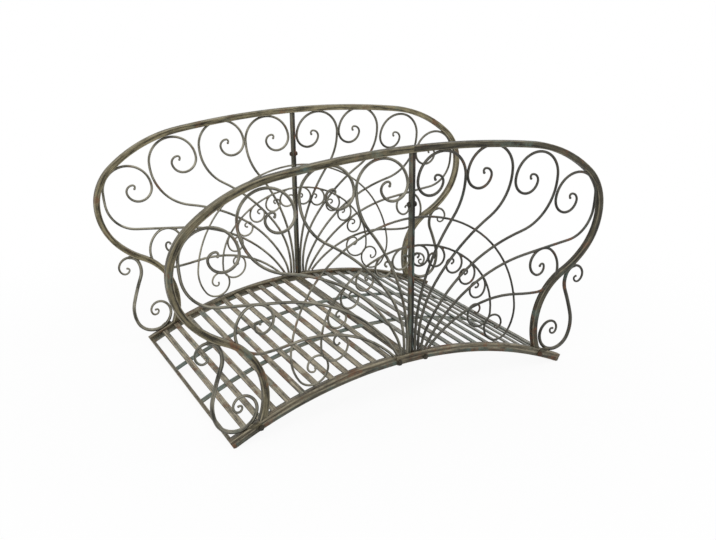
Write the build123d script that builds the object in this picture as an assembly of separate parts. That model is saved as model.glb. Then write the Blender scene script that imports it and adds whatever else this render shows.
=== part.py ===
# Knock-down garden moon bridge in wrought iron: an arched slatted deck in two halves
# bolted together at mid-span, with a scrolled railing panel on each quarter.
# X runs along the bridge, Y across it and Z up. The origin is on the ground at the centre.
# Millimetres and degrees throughout.

import os
from math import acos, ceil, cos, degrees, radians, sin, sqrt

from build123d import *

# Deck, as arcs about one centre far below the bridge
UNDERSIDE_RADIUS = 1332.0
HALF_ARC_LENGTH = 627.0
SIDE_RAIL_HEIGHT = 15.0
SIDE_RAIL_WIDTH = 42.0
SIDE_RAIL_THICKNESS = 4.0
BASE_BAR_HEIGHT = 13.0
CROSS_BAR_WIDTH = 12.0
SLAT_WIDTH = 19.0
SLAT_THICKNESS = 5.0
SLAT_SPACING = 50.0
FIRST_SLAT_DISTANCE = 67.0
SLAT_COUNT = 11
SLAT_END_GAP = 4.0
RUNNER_WIDTH = 22.0
RUNNER_THICKNESS = 4.0
RUNNER_OFFSET = 134.0
FOOT_FLAT_DEPTH = 3.0

# Railing panels
RAILING_SPACING = 850.0
FRAME_BAR_WIDTH = 20.0
BASE_BAR_WIDTH = 16.0
FAN_ROD_WIDTH = 9.0
ARC_ROD_WIDTH = 7.0
END_SCROLL_WIDTH = 12.0
POST_WIDTH = 8.0
POST_DEPTH = 14.0
FOOT_PLATE_WIDTH = 112.0
FOOT_PLATE_THICKNESS = 4.0
BEND_TOLERANCE = 1.7

# Worked out from the sizes above
FLANGE_TOP = UNDERSIDE_RADIUS + SIDE_RAIL_HEIGHT
BASE_TOP = FLANGE_TOP + BASE_BAR_HEIGHT
END_ANGLE = degrees(HALF_ARC_LENGTH / FLANGE_TOP)
BAR_ANGLE = degrees(CROSS_BAR_WIDTH / FLANGE_TOP)
ARC_CENTRE_Z = -FOOT_FLAT_DEPTH - UNDERSIDE_RADIUS * cos(radians(END_ANGLE))
CROWN = ARC_CENTRE_Z + BASE_TOP
RAIL_CENTRE = RAILING_SPACING / 2
RAIL_FACE = RAIL_CENTRE + FRAME_BAR_WIDTH / 2
RAIL_INNER_FACE = RAIL_CENTRE - FRAME_BAR_WIDTH / 2
BASE_INNER_FACE = RAIL_FACE - BASE_BAR_WIDTH
FAN_Y = -RAIL_CENTRE - FAN_ROD_WIDTH / 2
ARCS_Y = -RAIL_CENTRE + ARC_ROD_WIDTH / 2

# The railing is drawn in hundredths of the half deck's length, so that it grows with the
# deck. A run of bent bar starts at (x, height above the crown) with a heading from the X
# axis, and goes on in tangent bends of (radius, turn), a left turn being positive.
UNIT = HALF_ARC_LENGTH / 100

HANDRAIL = (
    (0, 102.55),
    0,
    [
        (492.8, -8.2),
        (75.4, -32.9),
        (27.4, -48),
        (32.9, -42.7),
        (47.0, -22.1),
        (30.9, 45.6),
        (36.4, 54),
    ],
)

# Four fan scrolls: a stem down to the foot of the post, and the same loop on top of each
LOOP_BENDS = [(13.2, 92), (14.0, 82), (7.5, 82), (7.0, 89), (3.5, 106), (1.75, 58)]
FAN_STEMS = [
    ((29.9, 86.9), -90, [(33.8, -37.5), (99.8, 16.9), (101.3, 23.4)]),
    ((58.2, 86.9), -90, [(26.7, -59.3), (101.6, 24.4), (53.6, 39.2)]),
    ((87.5, 80.4), -90, [(27.8, -77.7), (93.8, 14.7), (78.1, 36.4), (28.1, 22.4)]),
    ((114.3, 66.8), -90, [(60.6, -7.1), (18.2, -76.8), (1698, 1), (84.6, 22), (77, 31.7)]),
]
LOW_STEM = ((87.45, 21), -137.5, [(13.7, -45.5), (107.7, -7), (59.4, 57.9)])
NECK_SCROLL = ((90.5, 24.15), 69.7, [(14, 67.4), (8.5, 108.3), (6.9, 87.1), (3.8, 135), (1.6, 120)])

# Two arcs that spring from the post and curl up by the deck, and the scrolls under them
INNER_ARC = (
    (0, 55.3),
    0,
    [(52.3, -54.9), (33.8, -38.8), (7, -121), (7.5, -77.6), (4.15, -84.4), (2.7, -127)],
)
OUTER_ARC = (
    (0, 69.4),
    0,
    [(67.3, -37.5), (60.9, -46.6), (22.3, -40.8), (8.3, -164.8), (5.3, -155.4), (2.9, -90.6)],
)
SMALL_SCROLL_BENDS = [(7, -68), (4.6, -95), (4.6, -100), (2.4, -105), (1.6, -75)]
SMALL_SCROLL_STARTS = [
    ((3.5, 55.25), -2),
    ((14.0, 53.6), -12),
    ((25.75, 48.5), -23.4),
    ((35.4, 40.7), -38),
    ((43.5, 31.4), -52),
]

# Scroll between the handrail and the deck's end, one run each way from the same point.
# Its size is worked out from the drop between that point and where it rests on the deck.
END_SCROLL_START = (104.2, 27.7)
END_SCROLL_DOWN = [
    (5.7, 61.2),
    (11.85, 50.7),
    (125.6, -6.9),
    (19.8, -38.2),
    (10.3, -148.6),
    (7.5, -71.1),
    (5.15, -94.4),
    (3.9, -57.5),
    (2.0, -151),
]
END_SCROLL_UP = [(6, -72), (4.4, -75), (2.5, -105), (1.35, -60)]
END_SCROLL_REST = 88.5
END_SCROLL_REACH = 46.35

os.makedirs("parts", exist_ok=True)


def on_arc(radius, angle):
    """Point on the deck's arcs at an angle from the crown."""
    return radius * sin(radians(angle)), ARC_CENTRE_Z + radius * cos(radians(angle))


def across(edges, y_from, y_to):
    """Solid between two values of y from a closed outline drawn in X and Z."""
    plane = Plane(origin=(0, y_to, 0), x_dir=(1, 0, 0), z_dir=(0, -1, 0))
    return extrude(plane * make_face(Wire(edges)), amount=y_to - y_from)


def arc_band(inner, outer, from_angle, to_angle, y_from, y_to):
    """Bar that follows the deck's arc between two radii and two angles from the crown."""
    centre = (0, ARC_CENTRE_Z)
    sweep = to_angle - from_angle
    edges = [
        CenterArc(centre, inner, 90 - to_angle, sweep),
        CenterArc(centre, outer, 90 - to_angle, sweep),
        Line(on_arc(inner, from_angle), on_arc(outer, from_angle)),
        Line(on_arc(inner, to_angle), on_arc(outer, to_angle)),
    ]
    return across(edges, y_from, y_to)


def bends(start, heading, drawn, size=1.0):
    """Each bend of a run as (centre, radius, side, heading where it begins, turn)."""
    x, z = start[0] * UNIT, CROWN + start[1] * UNIT
    for share, turn in drawn:
        radius = share * UNIT * size
        side = 1 if turn > 0 else -1
        centre = (x - radius * side * sin(radians(heading)), z + radius * side * cos(radians(heading)))
        yield centre, radius, side, heading, turn
        heading += turn
        x = centre[0] + radius * side * sin(radians(heading))
        z = centre[1] - radius * side * cos(radians(heading))


def frame_bar(run):
    """Square bar of the railing's frame, bent along true arcs."""
    left, right = [], []
    for centre, radius, side, heading, turn in bends(*run):
        offset = side * FRAME_BAR_WIDTH / 2
        left.append(CenterArc(centre, radius - offset, heading - 90 * side, turn))
        right.append(CenterArc(centre, radius + offset, heading - 90 * side, turn))
    caps = [Line(left[0] @ 0, right[0] @ 0), Line(left[-1] @ 1, right[-1] @ 1)]
    return across(left + right + caps, -RAIL_FACE, -RAIL_INNER_FACE)


def rod(run, width, y_middle, size=1.0):
    """Scroll rod, with each bend in flats that stay within the bend tolerance of its arc."""
    left, right = [], []
    for centre, radius, side, heading, turn in bends(*run, size):
        flats = ceil(radians(abs(turn)) / (2 * acos(1 - BEND_TOLERANCE / radius)))
        for step in range(1 if left else 0, flats + 1):
            angle = radians(heading + turn * step / flats)
            outwards = (side * sin(angle), -side * cos(angle))
            for points, reach in ((left, radius - side * width / 2), (right, radius + side * width / 2)):
                points.append((centre[0] + reach * outwards[0], centre[1] + reach * outwards[1]))
    outline = Polyline(*left, *reversed(right), close=True)
    return across(outline.edges(), y_middle - width / 2, y_middle + width / 2)


def side_rail():
    """Angle iron: a leg down on the outside and a flange inwards that carries the slats."""
    span = (BAR_ANGLE, END_ANGLE - BAR_ANGLE)
    flange_bottom = FLANGE_TOP - SIDE_RAIL_THICKNESS
    flange = arc_band(flange_bottom, FLANGE_TOP, *span, -RAIL_FACE, -RAIL_FACE + SIDE_RAIL_WIDTH)
    leg = arc_band(UNDERSIDE_RADIUS, FLANGE_TOP, *span, -RAIL_FACE, -RAIL_FACE + SIDE_RAIL_THICKNESS)
    return flange + leg


def base_bar():
    """Railing's bottom bar, lying on the side rail beside the slat ends."""
    return arc_band(FLANGE_TOP, BASE_TOP, 0, END_ANGLE, -RAIL_FACE, -BASE_INNER_FACE)


def cross_bar(from_angle, to_angle):
    """Bar across the full width that closes one end of a deck half."""
    return arc_band(UNDERSIDE_RADIUS, FLANGE_TOP, from_angle, to_angle, -RAIL_FACE, RAIL_FACE)


def end_bar():
    """Cross bar at the deck's end, cut level on the ground so that the bridge stands on it."""
    bar = cross_bar(END_ANGLE - BAR_ANGLE, END_ANGLE)
    ground = Pos(0, 0, -CROWN) * Box(4 * HALF_ARC_LENGTH, 2 * RAILING_SPACING, 2 * CROWN)
    return bar - ground


def runner(y):
    """Flat bar under the slats from the centre bar to the end bar."""
    y_edges = (y - RUNNER_WIDTH / 2, y + RUNNER_WIDTH / 2)
    return arc_band(FLANGE_TOP - RUNNER_THICKNESS, FLANGE_TOP, BAR_ANGLE, END_ANGLE - BAR_ANGLE, *y_edges)


def slat(index):
    """One flat slat across the deck, lying on the flanges and the runners."""
    angle = degrees((FIRST_SLAT_DISTANCE + SLAT_SPACING * index) / FLANGE_TOP)
    x, z = on_arc(FLANGE_TOP + SLAT_THICKNESS / 2, angle)
    length = 2 * (BASE_INNER_FACE - SLAT_END_GAP)
    return Pos(x, 0, z) * Rot(0, angle, 0) * Box(SLAT_WIDTH, length, SLAT_THICKNESS)


def foot_plate():
    """Plate on the outside that ties the two halves together under the posts."""
    half_angle = degrees(FOOT_PLATE_WIDTH / 2 / FLANGE_TOP)
    y_outer = -RAIL_FACE - FOOT_PLATE_THICKNESS
    return arc_band(UNDERSIDE_RADIUS, BASE_TOP, -half_angle, half_angle, y_outer, -RAIL_FACE)


def half_post():
    """Flat bar up to the handrail, which its mirrored twin meets at mid-span."""
    height = HANDRAIL[0][1] * UNIT - FRAME_BAR_WIDTH / 2
    return Pos(POST_WIDTH / 2, -RAIL_CENTRE, CROWN + height / 2) * Box(POST_WIDTH, POST_DEPTH, height)


def fan_scrolls():
    """Stems, loops and neck scroll in the railing's outer layer."""
    runs = [LOW_STEM, NECK_SCROLL]
    for start, heading, stem_bends in FAN_STEMS:
        runs.append((start, heading, stem_bends))
        runs.append((start, -heading, LOOP_BENDS))
    return [rod(run, FAN_ROD_WIDTH, FAN_Y) for run in runs]


def arc_scrolls():
    """Arcs and small scrolls in the railing's inner layer, welded to the backs of the stems."""
    runs = [INNER_ARC, OUTER_ARC]
    for start, heading in SMALL_SCROLL_STARTS:
        runs.append((start, heading, SMALL_SCROLL_BENDS))
    return [rod(run, ARC_ROD_WIDTH, ARCS_Y) for run in runs]


def end_scroll():
    """Scroll that fills the angle between the handrail's neck and the deck."""
    rest_x = END_SCROLL_REST * UNIT
    deck_drop = BASE_TOP - sqrt(BASE_TOP**2 - rest_x**2)
    size = (END_SCROLL_START[1] * UNIT + deck_drop) / (END_SCROLL_REACH * UNIT)
    runs = [(END_SCROLL_START, 180, END_SCROLL_DOWN), (END_SCROLL_START, 0, END_SCROLL_UP)]
    return [rod(run, END_SCROLL_WIDTH, -RAIL_CENTRE, size) for run in runs]


def welded(rods, *cut_by):
    """Rods fused where they cross, ending on the faces of the bars that they are welded to."""
    piece = rods[0]
    for other in rods[1:]:
        piece = piece + other
    for bar in cut_by:
        piece = piece - bar
    return piece


deck_depth = BASE_TOP - UNDERSIDE_RADIUS * cos(radians(END_ANGLE))
deck_zone = arc_band(
    BASE_TOP - deck_depth, BASE_TOP, -END_ANGLE / 4, END_ANGLE * 1.3, -RAIL_FACE, -RAIL_INNER_FACE
)
handrail = frame_bar(HANDRAIL) - deck_zone
post = half_post() - deck_zone - handrail

quarter = {
    "handrail": handrail,
    "half_post": post,
    "base_bar": base_bar(),
    "fan_scrolls": welded(fan_scrolls(), deck_zone, handrail, post),
    "arc_scrolls": welded(arc_scrolls(), deck_zone, handrail, post),
    "end_scroll": welded(end_scroll(), deck_zone, handrail),
    "side_rail": side_rail(),
}
half = {
    "end_bar": end_bar(),
    "centre_bar": cross_bar(0, BAR_ANGLE),
    "runners": Compound([runner(-RUNNER_OFFSET), runner(RUNNER_OFFSET)]),
    "deck_slats": Compound([slat(index) for index in range(SLAT_COUNT)]),
}

for name, solid in quarter.items():
    for side_name, near in (("near", solid), ("far", mirror(solid, about=Plane.XZ))):
        export_step(near, f"parts/{name}_{side_name}_right.step")
        export_step(mirror(near, about=Plane.YZ), f"parts/{name}_{side_name}_left.step")
for name, solid in half.items():
    export_step(solid, f"parts/{name}_right.step")
    export_step(mirror(solid, about=Plane.YZ), f"parts/{name}_left.step")

plate = foot_plate()
export_step(plate, "parts/foot_plate_near.step")
export_step(mirror(plate, about=Plane.XZ), "parts/foot_plate_far.step")
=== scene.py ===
# %% [markdown]
# # An antiqued iron moon bridge
# The object is a small arched garden bridge in two bolted halves. Its deck is a slatted arc on
# angle iron, and each quarter carries a railing panel of scrolls inside a bent square frame.
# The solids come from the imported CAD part. This lesson dresses them: bars get their rolled
# corners, scroll rods become round, welds and bolts are added, and paint, dust and rust follow.
# The CAD part is loaded first, because every place below is measured from it.

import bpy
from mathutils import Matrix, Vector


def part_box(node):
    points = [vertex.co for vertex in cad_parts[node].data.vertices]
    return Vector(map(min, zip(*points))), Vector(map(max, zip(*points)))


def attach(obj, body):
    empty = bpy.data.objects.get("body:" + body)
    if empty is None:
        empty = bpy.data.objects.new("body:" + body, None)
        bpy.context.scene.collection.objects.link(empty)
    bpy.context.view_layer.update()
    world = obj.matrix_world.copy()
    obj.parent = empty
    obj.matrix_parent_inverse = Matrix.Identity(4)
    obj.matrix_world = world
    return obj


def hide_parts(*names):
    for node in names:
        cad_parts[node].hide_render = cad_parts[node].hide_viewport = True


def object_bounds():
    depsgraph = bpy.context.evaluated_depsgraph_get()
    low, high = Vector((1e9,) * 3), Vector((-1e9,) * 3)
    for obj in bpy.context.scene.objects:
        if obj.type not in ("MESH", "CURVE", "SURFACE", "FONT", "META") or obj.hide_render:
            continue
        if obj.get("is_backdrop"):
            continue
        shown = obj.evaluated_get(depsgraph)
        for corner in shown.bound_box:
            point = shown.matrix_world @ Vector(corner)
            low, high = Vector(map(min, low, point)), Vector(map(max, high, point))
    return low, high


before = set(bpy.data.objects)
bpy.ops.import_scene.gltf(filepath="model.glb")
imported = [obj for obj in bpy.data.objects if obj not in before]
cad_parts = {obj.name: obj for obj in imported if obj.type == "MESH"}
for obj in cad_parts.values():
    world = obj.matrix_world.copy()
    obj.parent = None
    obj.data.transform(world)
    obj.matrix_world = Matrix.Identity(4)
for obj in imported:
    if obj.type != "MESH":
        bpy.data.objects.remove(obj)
cad_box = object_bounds()
print("CAD box:", [round(v, 4) for corner in cad_box for v in corner])

# %% Libraries and sizes
from math import atan2, ceil, cos, pi, radians, sin, sqrt

import bmesh
import bpy
from mathutils import Matrix, Vector, kdtree

rail_low, rail_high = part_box("handrail_near_right")
_, base_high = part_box("base_bar_near_right")
BAR = rail_high.y - rail_low.y
RAIL_Y = -(rail_high.y + rail_low.y) / 2
CROWN = base_high.z
BASE_TOP_RADIUS = 1.360
FLANGE_RADIUS = 1.347
UNDERSIDE_RADIUS = 1.332
ARC_CENTRE = CROWN - BASE_TOP_RADIUS
HALF_ARC = 0.627
SCROLL_SWELL = 0.0003
SHARP_ANGLE = radians(40)
UNIT = HALF_ARC / 100


def box_depth(node):
    """Size of a node's box across the bridge."""
    low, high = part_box(node)
    return high.y - low.y


FAN_ROD_RADIUS = box_depth("fan_scrolls_near_right") / 2
ARC_ROD_RADIUS = box_depth("arc_scrolls_near_right") / 2
SCROLL_RADIUS = box_depth("end_scroll_near_right") / 2 + SCROLL_SWELL
QUARTERS = {"near_right": (1, 1), "near_left": (-1, 1), "far_right": (1, -1), "far_left": (-1, -1)}
print(f"rods {2000 * FAN_ROD_RADIUS:.0f} and {2000 * ARC_ROD_RADIUS:.0f} mm")
print(f"bar {BAR * 1000:.0f} mm, railings {2 * RAIL_Y * 1000:.0f} mm apart, crown at {CROWN * 1000:.1f} mm")

# %% [markdown]
# ## Helpers
# Geometry and shader trees are built in code here, so that every size is a named input. A few
# short helpers keep that readable: one opens a group with its sockets, one adds a node with its
# inputs, and the others do a single sum or read the first output of a node.

# %% Helpers for objects and node trees
SOCKET_KINDS = {int: "Int", float: "Float"}


def new_object(name, data):
    """Object for a mesh, lamp or camera, linked to the scene."""
    made = bpy.data.objects.new(name, data)
    bpy.context.scene.collection.objects.link(made)
    return made


def group_tree(kind, name, inputs, outputs):
    """Node tree and its two ends. A socket is given by its default number or by its kind."""
    tree = bpy.data.node_groups.new(name, kind)
    for label, value in inputs.items():
        socket = "NodeSocket" + SOCKET_KINDS.get(type(value), str(value))
        made = tree.interface.new_socket(label, in_out="INPUT", socket_type=socket)
        if type(value) in SOCKET_KINDS:
            made.default_value = value
    for label, socket in outputs.items():
        tree.interface.new_socket(label, in_out="OUTPUT", socket_type="NodeSocket" + socket)
    return tree, tree.nodes.new("NodeGroupInput").outputs, tree.nodes.new("NodeGroupOutput").inputs


def add(tree, kind, links=None, **settings):
    """New node with its settings, and its inputs linked or set by socket name or number."""
    node = tree.nodes.new(kind)
    for key, value in settings.items():
        setattr(node, key, value)
    for key, value in (links or {}).items():
        if isinstance(value, bpy.types.NodeSocket):
            tree.links.new(value, node.inputs[key])
        else:
            node.inputs[key].default_value = value
    return node


def result(tree, kind, links=None, **settings):
    """First output of a new node."""
    return add(tree, kind, links, **settings).outputs[0]


def calc(tree, operation, first, second=0.0, third=0.0, clamp=False):
    """Result of one Math node."""
    values = {0: first, 1: second, 2: third}
    return result(tree, "ShaderNodeMath", values, operation=operation, use_clamp=clamp)


def vector_calc(tree, operation, first, second):
    """Result of one Vector Math node."""
    return result(tree, "ShaderNodeVectorMath", {0: first, 1: second}, operation=operation)


def xyz(tree, x, y, z):
    """Vector made of three values."""
    return result(tree, "ShaderNodeCombineXYZ", {0: x, 1: y, 2: z})


def split(tree, vector):
    """The x, y and z of a vector."""
    return add(tree, "ShaderNodeSeparateXYZ", {0: vector}).outputs


def spread(tree, value, low, high, smooth=False):
    """Value stretched so that low becomes 0 and high becomes 1, and held there."""
    kind = "SMOOTHSTEP" if smooth else "LINEAR"
    values = {"Value": value, "From Min": low, "From Max": high}
    return result(tree, "ShaderNodeMapRange", values, interpolation_type=kind)


# %% [markdown]
# ## Antiqued paint
# The finish is a brown-olive paint rubbed by hand over iron: streaks that run along each bar,
# pale rubbed corners that are partly a painted highlight, red rust in soft patches and a
# blue-green bloom low down. Sides and undersides are painted darker as painted shade. A photo
# texture would be quick but fixed to one view. Each piece therefore carries two values of its own,
# "grain" (place along the bar, then across its section) and "half" (half the section's size),
# and a few small node groups turn them into streaks and corners that follow every bend.

# %% Colours
def colour(red, green, blue):
    """Linear colour from the 0 to 255 values of a colour picker."""
    def linear(v):
        v /= 255
        return v / 12.92 if v <= 0.04045 else ((v + 0.055) / 1.055) ** 2.4

    return (linear(red), linear(green), linear(blue), 1.0)


RUST_BROWN = colour(90, 62, 48)
RUST_ORANGE = colour(134, 88, 56)
BLOOM_GREEN = colour(88, 108, 101)
DUST_PALE = colour(160, 153, 138)
# Pale corner colour: rubbed wear, and partly a painted highlight along the corners
PALE_WEAR_AND_HIGHLIGHT = colour(158, 150, 128)
# Dark corner colour of the slats: painted shade on their edges and side faces
SLAT_EDGE_SHADE = colour(58, 50, 38)
# Dark colour of painted shade, on sides, undersides and in the seam between post halves
PAINTED_SHADE_DARK = colour(30, 28, 22)


def over(tree, below, above, mask):
    """One colour laid over another through a mask."""
    values = {"Factor": mask, 6: below, 7: above}
    return add(tree, "ShaderNodeMix", values, data_type="RGBA").outputs[2]


# %% Places that the paint reads
def object_place(tree):
    """Place on the piece, in metres."""
    return add(tree, "ShaderNodeTexCoord").outputs["Object"]


def own_mark(tree, name):
    """One of the two values that each piece carries, grain or half."""
    return add(tree, "ShaderNodeAttribute", attribute_name=name).outputs["Vector"]


def facing_up(tree):
    """How far a face looks up: 1 for a floor, 0 for a wall, -1 for a ceiling."""
    return split(tree, add(tree, "ShaderNodeNewGeometry").outputs["Normal"])[2]


def noise(tree, vector, scale, detail=4.0, roughness=0.6):
    """Output of one noise texture, which keeps mostly between 0.3 and 0.7."""
    values = {"Vector": vector, "Scale": scale, "Detail": detail, "Roughness": roughness}
    return result(tree, "ShaderNodeTexNoise", values)


def give_mask(tree, given, out, mask):
    """Send a mask out of its group, multiplied by the group's Amount."""
    tree.links.new(calc(tree, "MULTIPLY", mask, given["Amount"], clamp=True), out["Mask"])


# %% Patches: soft blotches for rust and bloom
BARE_LEVEL = 0.68
LEVEL_DROP = -0.42


def patches_group():
    """Soft-edged blotches: a mask that covers about a given share of the surface."""
    inputs = {"Scale": 9.0, "Shift": "Vector", "Cover": 0.3, "Softness": 0.08}
    tree, given, out = group_tree("ShaderNodeTree", "patches", inputs, {"Mask": "Float"})
    moved = vector_calc(tree, "ADD", object_place(tree), given["Shift"])
    broad = noise(tree, moved, given["Scale"], 6.0, 0.66)
    level = calc(tree, "MULTIPLY_ADD", given["Cover"], LEVEL_DROP, BARE_LEVEL)
    low = calc(tree, "SUBTRACT", level, given["Softness"])
    high = calc(tree, "ADD", level, given["Softness"])
    tree.links.new(spread(tree, broad, low, high, smooth=True), out["Mask"])
    return tree


PATCHES = patches_group()


# %% Rubbed paint: streaks along the bar
STREAK_SHARE = 0.60
DRIFT_SHARE = 0.20
SPECK_SHARE = 0.20
DRIFT_SCALE = 24.0
SPECK_SCALE = 420.0


def rubbed_paint_group():
    """Two shades of paint in streaks, drifts and specks, with the height of the brush marks."""
    inputs = {"Dark": "Color", "Light": "Color", "Streak Scale": 230.0, "Stretch": 0.05}
    outputs = {"Colour": "Color", "Height": "Float"}
    tree, given, out = group_tree("ShaderNodeTree", "rubbed_paint", inputs, outputs)
    where = object_place(tree)
    shrink = xyz(tree, given["Stretch"], 1.0, 1.0)
    drawn = vector_calc(tree, "MULTIPLY", own_mark(tree, "grain"), shrink)
    streaks = spread(tree, noise(tree, drawn, given["Streak Scale"], 3.0), 0.3, 0.7)
    drift = spread(tree, noise(tree, where, DRIFT_SCALE), 0.32, 0.68)
    specks = spread(tree, noise(tree, where, SPECK_SCALE, 3.0, 0.7), 0.3, 0.7)
    mixed = calc(tree, "MULTIPLY_ADD", streaks, STREAK_SHARE, calc(tree, "MULTIPLY", drift, DRIFT_SHARE))
    mixed = calc(tree, "MULTIPLY_ADD", specks, SPECK_SHARE, mixed)
    share = spread(tree, mixed, 0.28, 0.72)
    height = calc(tree, "MULTIPLY_ADD", specks, 0.5, calc(tree, "MULTIPLY", streaks, 0.5))
    tree.links.new(over(tree, given["Dark"], given["Light"], share), out["Colour"])
    tree.links.new(height, out["Height"])
    return tree


RUBBED_PAINT = rubbed_paint_group()


# %% Settled dust: faces that look up
def settled_dust_group():
    """Mask of faces that look up, broken by noise, where dust lies on the paint."""
    inputs = {"Amount": 0.7, "Scale": 60.0}
    tree, given, out = group_tree("ShaderNodeTree", "settled_dust", inputs, {"Mask": "Float"})
    slope = spread(tree, facing_up(tree), 0.35, 0.92, smooth=True)
    broken = spread(tree, noise(tree, object_place(tree), given["Scale"], 5.0, 0.65), 0.36, 0.62)
    give_mask(tree, given, out, calc(tree, "MULTIPLY", slope, broken))
    return tree


SETTLED_DUST = settled_dust_group()


# %% Painted shade: sides and undersides are painted darker
CLOUD_SCALE = 80.0
CLOUD_DEPTH = 0.4


def sheltered_group():
    """Mask of faces that look sideways or down, which are painted darker as painted shade."""
    inputs = {"Amount": 0.5, "Open": 0.55, "Closed": -0.15}
    tree, given, out = group_tree("ShaderNodeTree", "painted_shade", inputs, {"Mask": "Float"})
    hidden = spread(tree, facing_up(tree), given["Open"], given["Closed"], smooth=True)
    cloudy = spread(tree, noise(tree, object_place(tree), CLOUD_SCALE), 0.35, 0.6)
    broken = calc(tree, "MULTIPLY_ADD", cloudy, CLOUD_DEPTH, 1.0 - CLOUD_DEPTH)
    give_mask(tree, given, out, calc(tree, "MULTIPLY", hidden, broken))
    return tree


PAINTED_SHADE = sheltered_group()


# %% Worn corners: paint rubbed thin by hands and cloths, which also serve as a painted highlight
FULLY_WORN = 0.0006
WEAR_SCALE = 60.0
WEAR_STRETCH = 0.35


def worn_edges_group():
    """Mask of the long corners of a bar, from the place across its section: rubbed wear and a painted
    highlight, and painted shade where the corner colour is dark.
    """
    inputs = {"Amount": 0.6, "Reach": 0.0036}
    tree, given, out = group_tree("ShaderNodeTree", "edge_wear_and_light", inputs, {"Mask": "Float"})
    grain = own_mark(tree, "grain")
    place, size = split(tree, grain), split(tree, own_mark(tree, "half"))
    wide, high = [
        calc(tree, "SUBTRACT", size[axis], calc(tree, "ABSOLUTE", place[axis])) for axis in (1, 2)
    ]
    from_corner = calc(tree, "MAXIMUM", wide, high)
    corner = spread(tree, from_corner, given["Reach"], FULLY_WORN, smooth=True)
    drawn = vector_calc(tree, "MULTIPLY", grain, (WEAR_STRETCH, 1.0, 1.0))
    broken = spread(tree, noise(tree, drawn, WEAR_SCALE, 5.0, 0.7), 0.38, 0.60)
    give_mask(tree, given, out, calc(tree, "MULTIPLY", corner, broken))
    return tree


EDGE_WEAR_AND_LIGHT = worn_edges_group()
EFFECTS = (PATCHES, RUBBED_PAINT, SETTLED_DUST, PAINTED_SHADE, EDGE_WEAR_AND_LIGHT)
print("effect groups:", *(effect.name for effect in EFFECTS))

# %% The painted iron
BLOOM_SCALE, RUST_SCALE, ORANGE_SCALE = 12.0, 15.0, 60.0
BLOOM_DEPTH, RUST_DEPTH, ORANGE_DEPTH = 0.6, 0.5, 0.35
ORANGE_COVER = 0.45
SEAM_CORE = 0.4
RUST_DULLS, DUST_DULLS, WEAR_DULLS = 0.25, 0.18, -0.12
RELIEF_HEIGHT = 0.0006
GLOSS = 0.28


def filled(tree, group, values):
    """Outputs of a group node with its inputs set by name."""
    node = add(tree, "ShaderNodeGroup", node_tree=group)
    for key, value in values.items():
        node.inputs[key].default_value = value
    return node.outputs


def patches(tree, scale, shift, cover, softness=0.08):
    """Mask of soft blotches."""
    values = {"Scale": scale, "Shift": Vector(shift), "Cover": cover, "Softness": softness}
    return filled(tree, PATCHES, values)["Mask"]


def with_seam(tree, base, seam):
    """Colour with a line of painted shade down the middle of a pair of posts, where the halves meet."""
    from_middle = calc(tree, "ABSOLUTE", split(tree, object_place(tree))[0])
    return over(tree, base, PAINTED_SHADE_DARK, spread(tree, from_middle, seam, seam * SEAM_CORE, smooth=True))


def painted_iron(
    name, dark, light, shift, rust=0.2, bloom=0.1, dust=0.3, wear=0.7, reach=0.003,
    edge=PALE_WEAR_AND_HIGHLIGHT, shade=0.3, open_at=0.55, closed_at=-0.15, seam=0.0, matt=0.46,
):
    """Antiqued paint on iron in two shades, with its own amounts of each effect."""
    material = bpy.data.materials.new(name)
    material.use_nodes = True
    tree = material.node_tree
    shader = tree.nodes["Principled BSDF"]
    shift = Vector(shift)
    paint = filled(tree, RUBBED_PAINT, {"Dark": dark, "Light": light})
    green = patches(tree, BLOOM_SCALE, shift + Vector((3, 1, 7)), bloom)
    red = patches(tree, RUST_SCALE, shift, rust, 0.06)
    orange = patches(tree, ORANGE_SCALE, shift + Vector((9, 4, 2)), ORANGE_COVER, 0.05)
    dusty = filled(tree, SETTLED_DUST, {"Amount": dust})["Mask"]
    edges = filled(tree, EDGE_WEAR_AND_LIGHT, {"Amount": wear, "Reach": reach})["Mask"]
    below = filled(tree, PAINTED_SHADE, {"Amount": shade, "Open": open_at, "Closed": closed_at})["Mask"]
    deep = calc(tree, "MULTIPLY", red, orange)
    layers = (
        (BLOOM_GREEN, calc(tree, "MULTIPLY", green, BLOOM_DEPTH)),
        # painted shade on faces that look sideways or down
        (PAINTED_SHADE_DARK, below),
        (DUST_PALE, dusty),
        # worn corners, partly a painted highlight; on the slats painted shade
        (edge, edges),
        (RUST_BROWN, calc(tree, "MULTIPLY", red, RUST_DEPTH)),
        (RUST_ORANGE, calc(tree, "MULTIPLY", deep, ORANGE_DEPTH)),
    )
    base = paint["Colour"]
    for above, mask in layers:
        base = over(tree, base, above, mask)
    if seam:
        base = with_seam(tree, base, seam)
    tree.links.new(base, shader.inputs["Base Color"])
    dull = matt
    for mask, step in ((red, RUST_DULLS), (dusty, DUST_DULLS), (edges, WEAR_DULLS)):
        dull = calc(tree, "MULTIPLY_ADD", mask, step, dull)
    tree.links.new(dull, shader.inputs["Roughness"])
    relief = calc(tree, "MULTIPLY_ADD", red, 0.5, paint["Height"])
    bump = result(tree, "ShaderNodeBump", {"Height": relief, "Strength": 0.5, "Distance": RELIEF_HEIGHT})
    tree.links.new(bump, shader.inputs["Normal"])
    shader.inputs["Specular IOR Level"].default_value = GLOSS
    return material


# %% [markdown]
# ### One mix for each kind of bar
# Each quarter of the railing gets its own painted light and shade: the same paint is made
# darker where a quarter is painted as shaded, the near right one most, and lighter where it is
# painted as lit. A tone for each quarter multiplies both shades of its paint, and the deck's
# bars have one mix for each kind.

# %% Paints of the railing, quarter by quarter, each with its own painted light and shade
def toned(red, green, blue, tone):
    """Colour picker values made lighter or darker by a share, to paint light and shade."""
    return colour(red * tone, green * tone, blue * tone)


# Tones of painted light and shade, quarter by quarter: below 1 painted as shaded, above 1 as lit
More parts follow.
